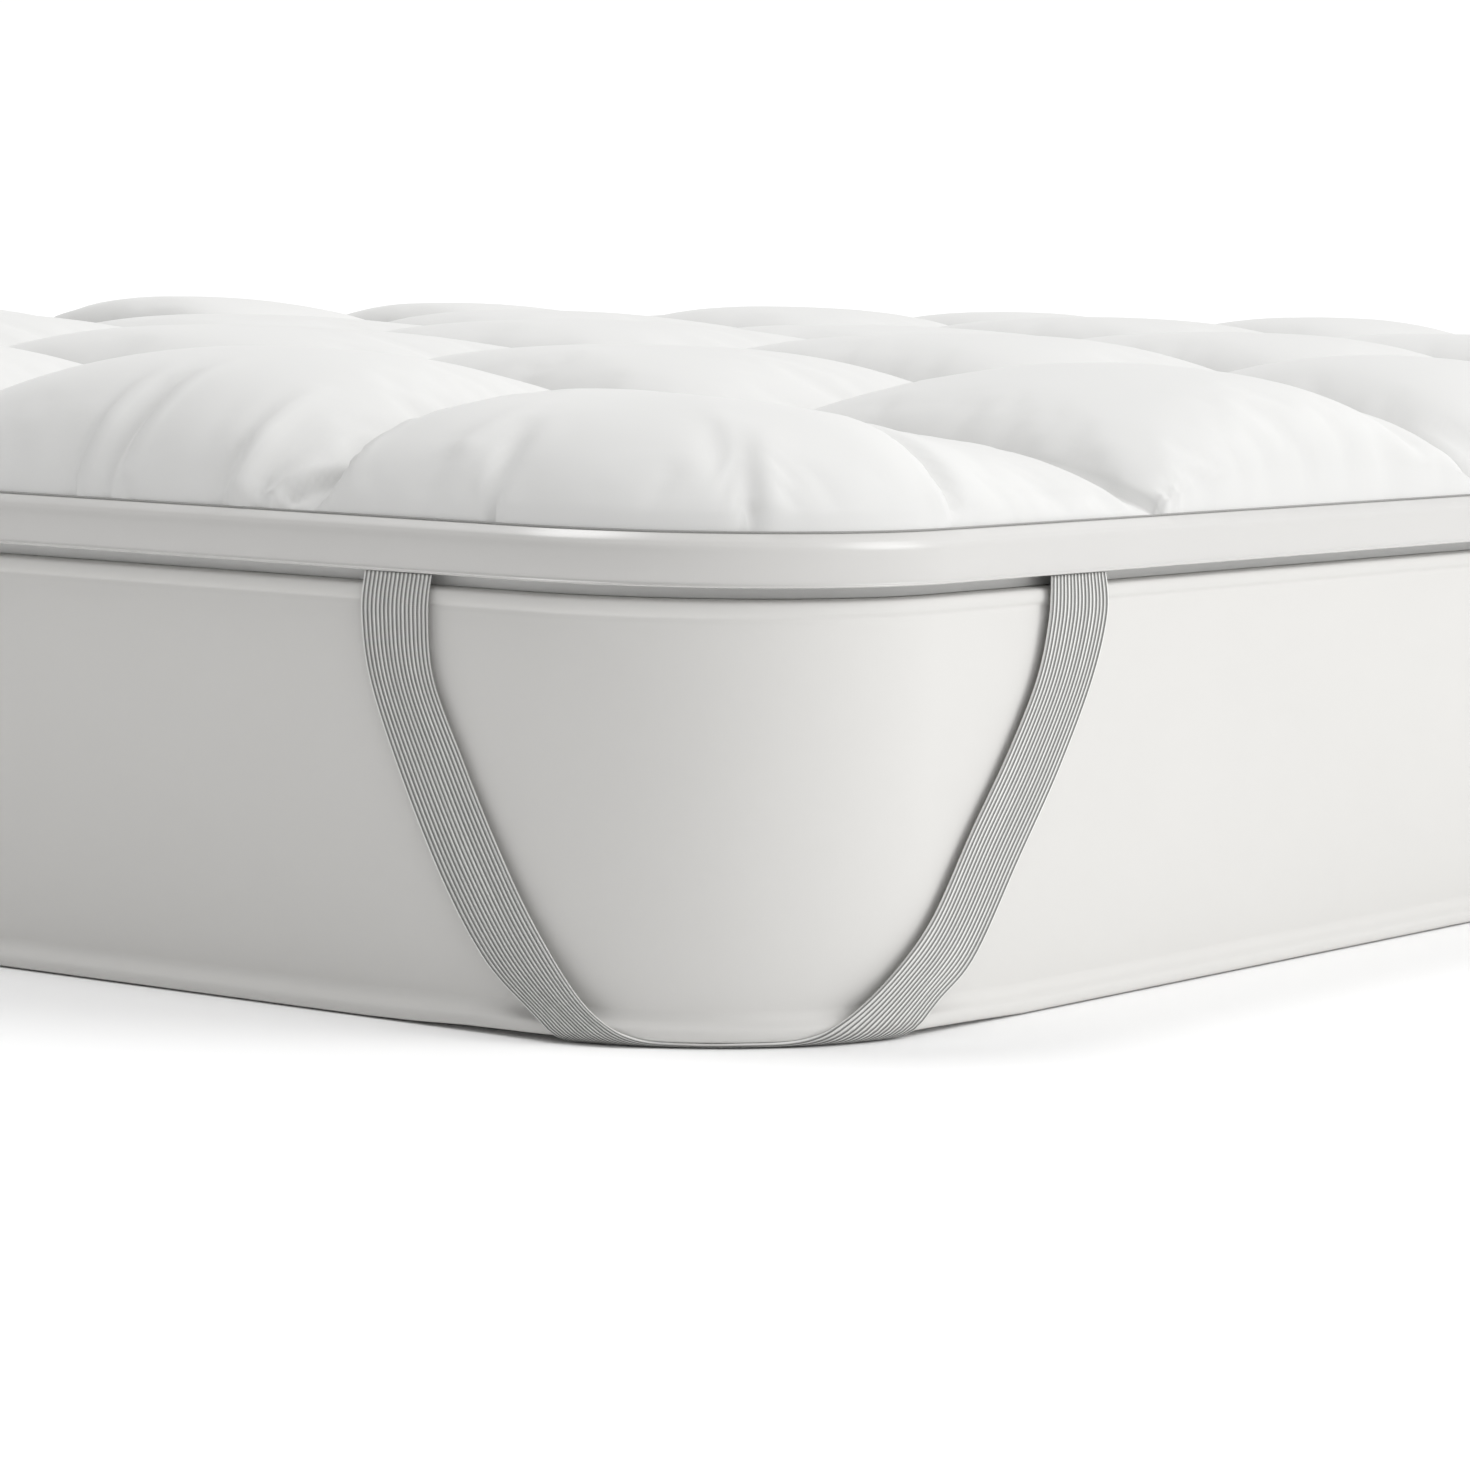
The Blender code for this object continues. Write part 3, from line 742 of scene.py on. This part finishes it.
def settle_cloth(points, faces, pinned):
    """How far each point moves as the top puffs up like cloth, held at its pinned points."""
    mesh = mesh_from("settling_top", points, faces)
    thing = new_object("settling_top", mesh)
    group = thing.vertex_groups.new(name="sewn")
    group.add([int(k) for k in np.nonzero(pinned)[0]], 1.0, "REPLACE")
    modifier = thing.modifiers.new("cloth", "CLOTH")
    settings = modifier.settings
    for key, value in CLOTH.items():
        setattr(settings, key, value)
    settings.vertex_group_mass = "sewn"
    settings.effector_weights.gravity = 0.0
    modifier.collision_settings.use_collision = False
    modifier.collision_settings.use_self_collision = False
    scene = bpy.context.scene
    modifier.point_cache.frame_start = 1
    modifier.point_cache.frame_end = SIM_FRAMES
    for number in range(1, SIM_FRAMES + 1):
        scene.frame_set(number)
    evaluated = thing.evaluated_get(bpy.context.evaluated_depsgraph_get())
    moved = np.empty(len(points) * 3)
    evaluated.data.vertices.foreach_get("co", moved)
    scene.frame_set(1)
    bpy.data.objects.remove(thing, do_unlink=True)
    bpy.data.meshes.remove(mesh)
    return moved.reshape(-1, 3) - points


def blurred(field, positions, width):
    """A field on the grid, averaged along its first axis over a width in metres."""
    spacing = positions[:, None] - positions[None, :]
    weights = np.exp(-(spacing / width) ** 2) * np.gradient(positions)[None, :]
    weights /= weights.sum(axis=1, keepdims=True)
    return np.tensordot(weights, field, axes=(1, 0))


def wrinkles_only(change, lines_x, lines_y):
    """The settled cloth's movement without its broad part, so the puffs keep their size."""
    field = change.reshape(len(lines_y), len(lines_x), 3)
    broad = blurred(field, lines_y, SIM_BLUR)
    broad = np.swapaxes(blurred(np.swapaxes(broad, 0, 1), lines_x, SIM_BLUR), 0, 1)
    along_gaps = lines_x[:, None] + LENGTH / 2.0 - np.array(SEAMS_ALONG)[None, :]
    across_gaps = lines_y[:, None] + WIDTH / 2.0 - np.array(SEAMS_ACROSS)[None, :]
    from_seam_x = np.abs(along_gaps).min(axis=1)
    from_seam_y = np.abs(across_gaps).min(axis=1)
    from_seam = np.minimum(from_seam_x[None, :], from_seam_y[:, None])
    taken = np.clip(from_seam / SIM_BLUR, 0.0, 1.0)[:, :, None]
    detail = (field - broad * taken).reshape(-1, 3) * SIM_SHARE
    size = np.linalg.norm(detail, axis=1)
    return detail * np.minimum(1.0, SIM_MOVE_LIMIT / np.maximum(size, 1e-9))[:, None]


def crease(points, along, across, ny, nx):
    """Presses the small creases into the grid of points."""
    field = points.reshape(ny, nx, 3)
    normal = np.cross(np.gradient(field, axis=1), np.gradient(field, axis=0)).reshape(-1, 3)
    normal /= np.maximum(np.linalg.norm(normal, axis=1, keepdims=True), 1e-12)
    from_rim = rim_distance(points[:, 0], points[:, 1], PAD_INSET)
    edge = np.clip(from_rim / CREASE_RIM_HOLD, 0.0, 1.0)
    depth = np.zeros(len(points))
    for line in CREASES:
        depth += fold_change(along, across, line)
    return points - normal * (depth * edge)[:, None]


def build_pad(finish):
    lines_x, sewn_x = spaced_lines(SEAMS_ALONG, STEPS_ALONG, PAD_INSET)
    lines_y, sewn_y = spaced_lines(SEAMS_ACROSS, STEPS_ACROSS, PAD_INSET)
    nx, ny = len(lines_x), len(lines_y)
    grid_x, grid_y = np.meshgrid(lines_x, lines_y)
    x, y = round_corners(grid_x.ravel(), grid_y.ravel(), PAD_INSET)
    z = pad_height(x, y, PAD_INSET)
    points = np.stack([x, y, z], axis=1)
    faces = []
    for j in range(ny - 1):
        for i in range(nx - 1):
            k = j * nx + i
            faces.append((k, k + 1, k + nx + 1, k + nx))
    pinned = np.zeros((ny, nx), dtype=bool)
    pinned[0, :] = pinned[-1, :] = True
    pinned[:, 0] = pinned[:, -1] = True
    pinned[:, sewn_x] = True
    pinned[sewn_y, :] = True
    change = settle_cloth(points, faces, pinned.ravel())
    points = points + wrinkles_only(change, lines_x, lines_y)
    points = crease(points, x + LENGTH / 2.0, y + WIDTH / 2.0, ny, nx)

    edge = list(range(nx))
    edge += [j * nx + nx - 1 for j in range(1, ny)]
    edge += [(ny - 1) * nx + i for i in range(nx - 2, -1, -1)]
    edge += [j * nx for j in range(ny - 2, 0, -1)]
    points = [tuple(p) for p in points]
    loops = [edge]
    for inset, height in PAD_SIDE:
        shrink_x = (LENGTH / 2.0 - inset) / (LENGTH / 2.0 - PAD_INSET)
        shrink_y = (WIDTH / 2.0 - inset) / (WIDTH / 2.0 - PAD_INSET)
        loop = []
        for k in edge:
            rim_x, rim_y, _ = points[k]
            loop.append(len(points))
            points.append((rim_x * shrink_x, rim_y * shrink_y, height))
        loops.append(loop)
    for upper, lower in zip(loops, loops[1:]):
        for k in range(len(upper)):
            after = (k + 1) % len(upper)
            faces.append((upper[k], lower[k], lower[after], upper[after]))
    faces.append(tuple(loops[-1][::-1]))
    mesh = mesh_from("quilted_top", points, faces)
    outward_normals(mesh)
    piece = new_object("quilted_top", mesh)
    mesh.set_sharp_from_angle(angle=math.radians(PAD_SHARP_ANGLE))
    mesh.materials.append(finish)
    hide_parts("quilted_pad")
    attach(piece, "root")


# Straps


def smooth_row(rows, position):
    """A row between the table's rows, on a smooth curve through all of them."""
    index = min(int(position), len(rows) - 2)
    share = position - index
    before = rows[max(index - 1, 0)]
    start = rows[index]
    end = rows[index + 1]
    after = rows[min(index + 2, len(rows) - 1)]
    slope_start = (end - before) / 2.0
    slope_end = (after - start) / 2.0
    cube = share ** 3
    square = share ** 2
    from_start = (2 * cube - 3 * square + 1) * start + (cube - 2 * square + share) * slope_start
    return from_start + (3 * square - 2 * cube) * end + (cube - square) * slope_end


def strap_point(along, drop, lift):
    """A place on the strap, which hangs down the side and turns in under the mattress."""
    if drop >= STRAP_TURN_HEIGHT:
        share = (drop - STRAP_TURN_HEIGHT) / (STRAP_SLACK_HEIGHT - STRAP_TURN_HEIGHT)
        share = min(share, 1.0)
        ease = share * share * (3.0 - 2.0 * share)
        outward = STRAP_EDGE_CLEARANCE + (STRAP_STANDOFF - STRAP_EDGE_CLEARANCE) * ease + lift
        return (*outline_point(along, outward), drop)
    centre = STRAP_EDGE_CLEARANCE - STRAP_TURN_RADIUS
    reach = STRAP_TURN_RADIUS + lift
    turned = min((STRAP_TURN_HEIGHT - drop) / STRAP_TURN_RADIUS, math.pi / 2.0)
    past = STRAP_TURN_HEIGHT - drop - STRAP_TURN_RADIUS * math.pi / 2.0
    outward = centre + reach * math.cos(turned) - max(past, 0.0)
    return (*outline_point(along, outward), STRAP_TURN_HEIGHT - reach * math.sin(turned))


def build_strap(number, sign_x, sign_y, finish):
    rows = np.array(STRAP_ROUTE)
    across_steps = STRAP_RIBS * RIB_STEPS
    rings = []
    marks = []
    length = 0.0
    last_middle = None
    for station in range(STRAP_STATIONS + 1):
        position = (len(rows) - 1) * station / STRAP_STATIONS
        near_along, near_drop, far_along, far_drop = smooth_row(rows, position)
        step_along = far_along - near_along
        step_drop = far_drop - near_drop
        ring = []
        for k in range(across_steps + 1):
            share = k / across_steps
            rib = abs(math.sin(math.pi * share * STRAP_RIBS)) ** RIB_POWER
            lift = STRAP_THICK - RIB_DEPTH + RIB_DEPTH * rib
            along = near_along + step_along * share
            drop = near_drop + step_drop * share
            ring.append(strap_point(along, drop, lift))
        for k in range(STRAP_RIBS + 1):
            share = 1.0 - k / STRAP_RIBS
            along = near_along + step_along * share
            drop = near_drop + step_drop * share
            ring.append(strap_point(along, drop, 0.0))
        middle = Vector(ring[across_steps // 2])
        if last_middle is not None:
            length += (middle - last_middle).length
        last_middle = middle
        marks.append(length)
        placed = []
        for x, y, z in ring:
            placed.append((sign_x * (LENGTH / 2.0 - x), sign_y * (WIDTH / 2.0 - y), z))
        rings.append(placed)
    name = f"elastic_strap_{number}"
    mesh = loft(name, rings)
    layer = mesh.uv_layers.new(name="weave")
    count = len(rings[0])
    for loop in mesh.loops:
        station, k = divmod(loop.vertex_index, count)
        if k > across_steps:
            k = across_steps * (1.0 - (k - across_steps - 1) / STRAP_RIBS)
        layer.data[loop.index].uv = (STRAP_CUT_WIDTH * k / across_steps, marks[station])
    piece = new_object(name, mesh)
    mesh.materials.append(finish)
    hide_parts(f"corner_strap_{number}")
    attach(piece, "root")


# Stage


def build_stage():
    corners = [(x * FLOOR_HALF, y * FLOOR_HALF, 0) for x, y in ((-1, -1), (1, -1), (1, 1), (-1, 1))]
    floor_mesh = mesh_from("floor", corners, [(0, 1, 2, 3)], False)
    floor = new_object("floor", floor_mesh)
    nodes = Nodes("floor_paper", FLOOR_ALBEDO, 0.9)
    nodes.shader.inputs["Specular IOR Level"].default_value = 0.0
    floor_mesh.materials.append(nodes.material)

    world = bpy.data.worlds.new("studio")
    world.use_nodes = True
    tree = world.node_tree
    background = tree.nodes["Background"]
    background.inputs["Color"].default_value = (1.0, 1.0, 1.0, 1.0)
    spot = tree.nodes.new("ShaderNodeTexCoord")
    toward = tree.nodes.new("ShaderNodeVectorMath")
    toward.operation = "DOT_PRODUCT"
    toward.inputs[1].default_value = WORLD_BRIGHT_SIDE
    fade = tree.nodes.new("ShaderNodeMapRange")
    fade.interpolation_type = "SMOOTHSTEP"
    fade.inputs["From Min"].default_value = WORLD_FADE[0]
    fade.inputs["From Max"].default_value = WORLD_FADE[1]
    fade.inputs["To Min"].default_value = WORLD_DARK
    fade.inputs["To Max"].default_value = WORLD_BRIGHT
    tree.links.new(spot.outputs["Generated"], toward.inputs[0])
    tree.links.new(toward.outputs["Value"], fade.inputs["Value"])
    tree.links.new(fade.outputs["Result"], background.inputs["Strength"])
    bpy.context.scene.world = world

    for name, toward, energy, angle in SUNS:
        sun = bpy.data.lights.new(name, "SUN")
        sun.energy = energy
        sun.angle = math.radians(angle)
        lamp = new_object(name, sun)
        lamp.rotation_mode = "QUATERNION"
        lamp.rotation_quaternion = Vector(toward).to_track_quat("Z", "Y")


def build_camera():
    lens = bpy.data.cameras.new("camera")
    lens.lens = CAMERA_LENS
    lens.sensor_width = SENSOR
    lens.sensor_fit = "AUTO"
    lens.clip_start = 0.05
    lens.clip_end = 200.0
    camera = new_object("camera", lens)
    forward = Vector((
        math.cos(CAMERA_YAW) * math.cos(CAMERA_DOWN),
        math.sin(CAMERA_YAW) * math.cos(CAMERA_DOWN),
        -math.sin(CAMERA_DOWN),
    ))
    level = Vector((math.sin(CAMERA_YAW), -math.cos(CAMERA_YAW), 0.0))
    upright = level.cross(forward)
    right = math.cos(CAMERA_ROLL) * level + math.sin(CAMERA_ROLL) * upright
    up = -math.sin(CAMERA_ROLL) * level + math.cos(CAMERA_ROLL) * upright
    axes = Matrix((right, up, -forward)).transposed().to_4x4()
    camera.matrix_world = Matrix.Translation(CAMERA_PLACE) @ axes
    bpy.context.scene.camera = camera


def main():
    bpy.context.scene.view_settings.view_transform = "Standard"
    build_camera()
    build_stage()
    cloths = {name: fabric(name, *numbers) for name, numbers in FABRICS.items()}
    trim_shader = cloths["trim"].node_tree.nodes["Principled BSDF"]
    for socket, value in TRIM_COAT.items():
        trim_shader.inputs[socket].default_value = value
    elastic = elastic_fabric("elastic")
    build_mattress(cloths["ticking"])
    build_band(cloths["trim"])
    build_pad(cloths["microfibre"])
    build_rim_seam(cloths["seam_thread"])
    corners = ((-1, -1), (1, -1), (1, 1), (-1, 1))
    for number, (sign_x, sign_y) in enumerate(corners, start=1):
        build_strap(number, sign_x, sign_y, elastic)


main()
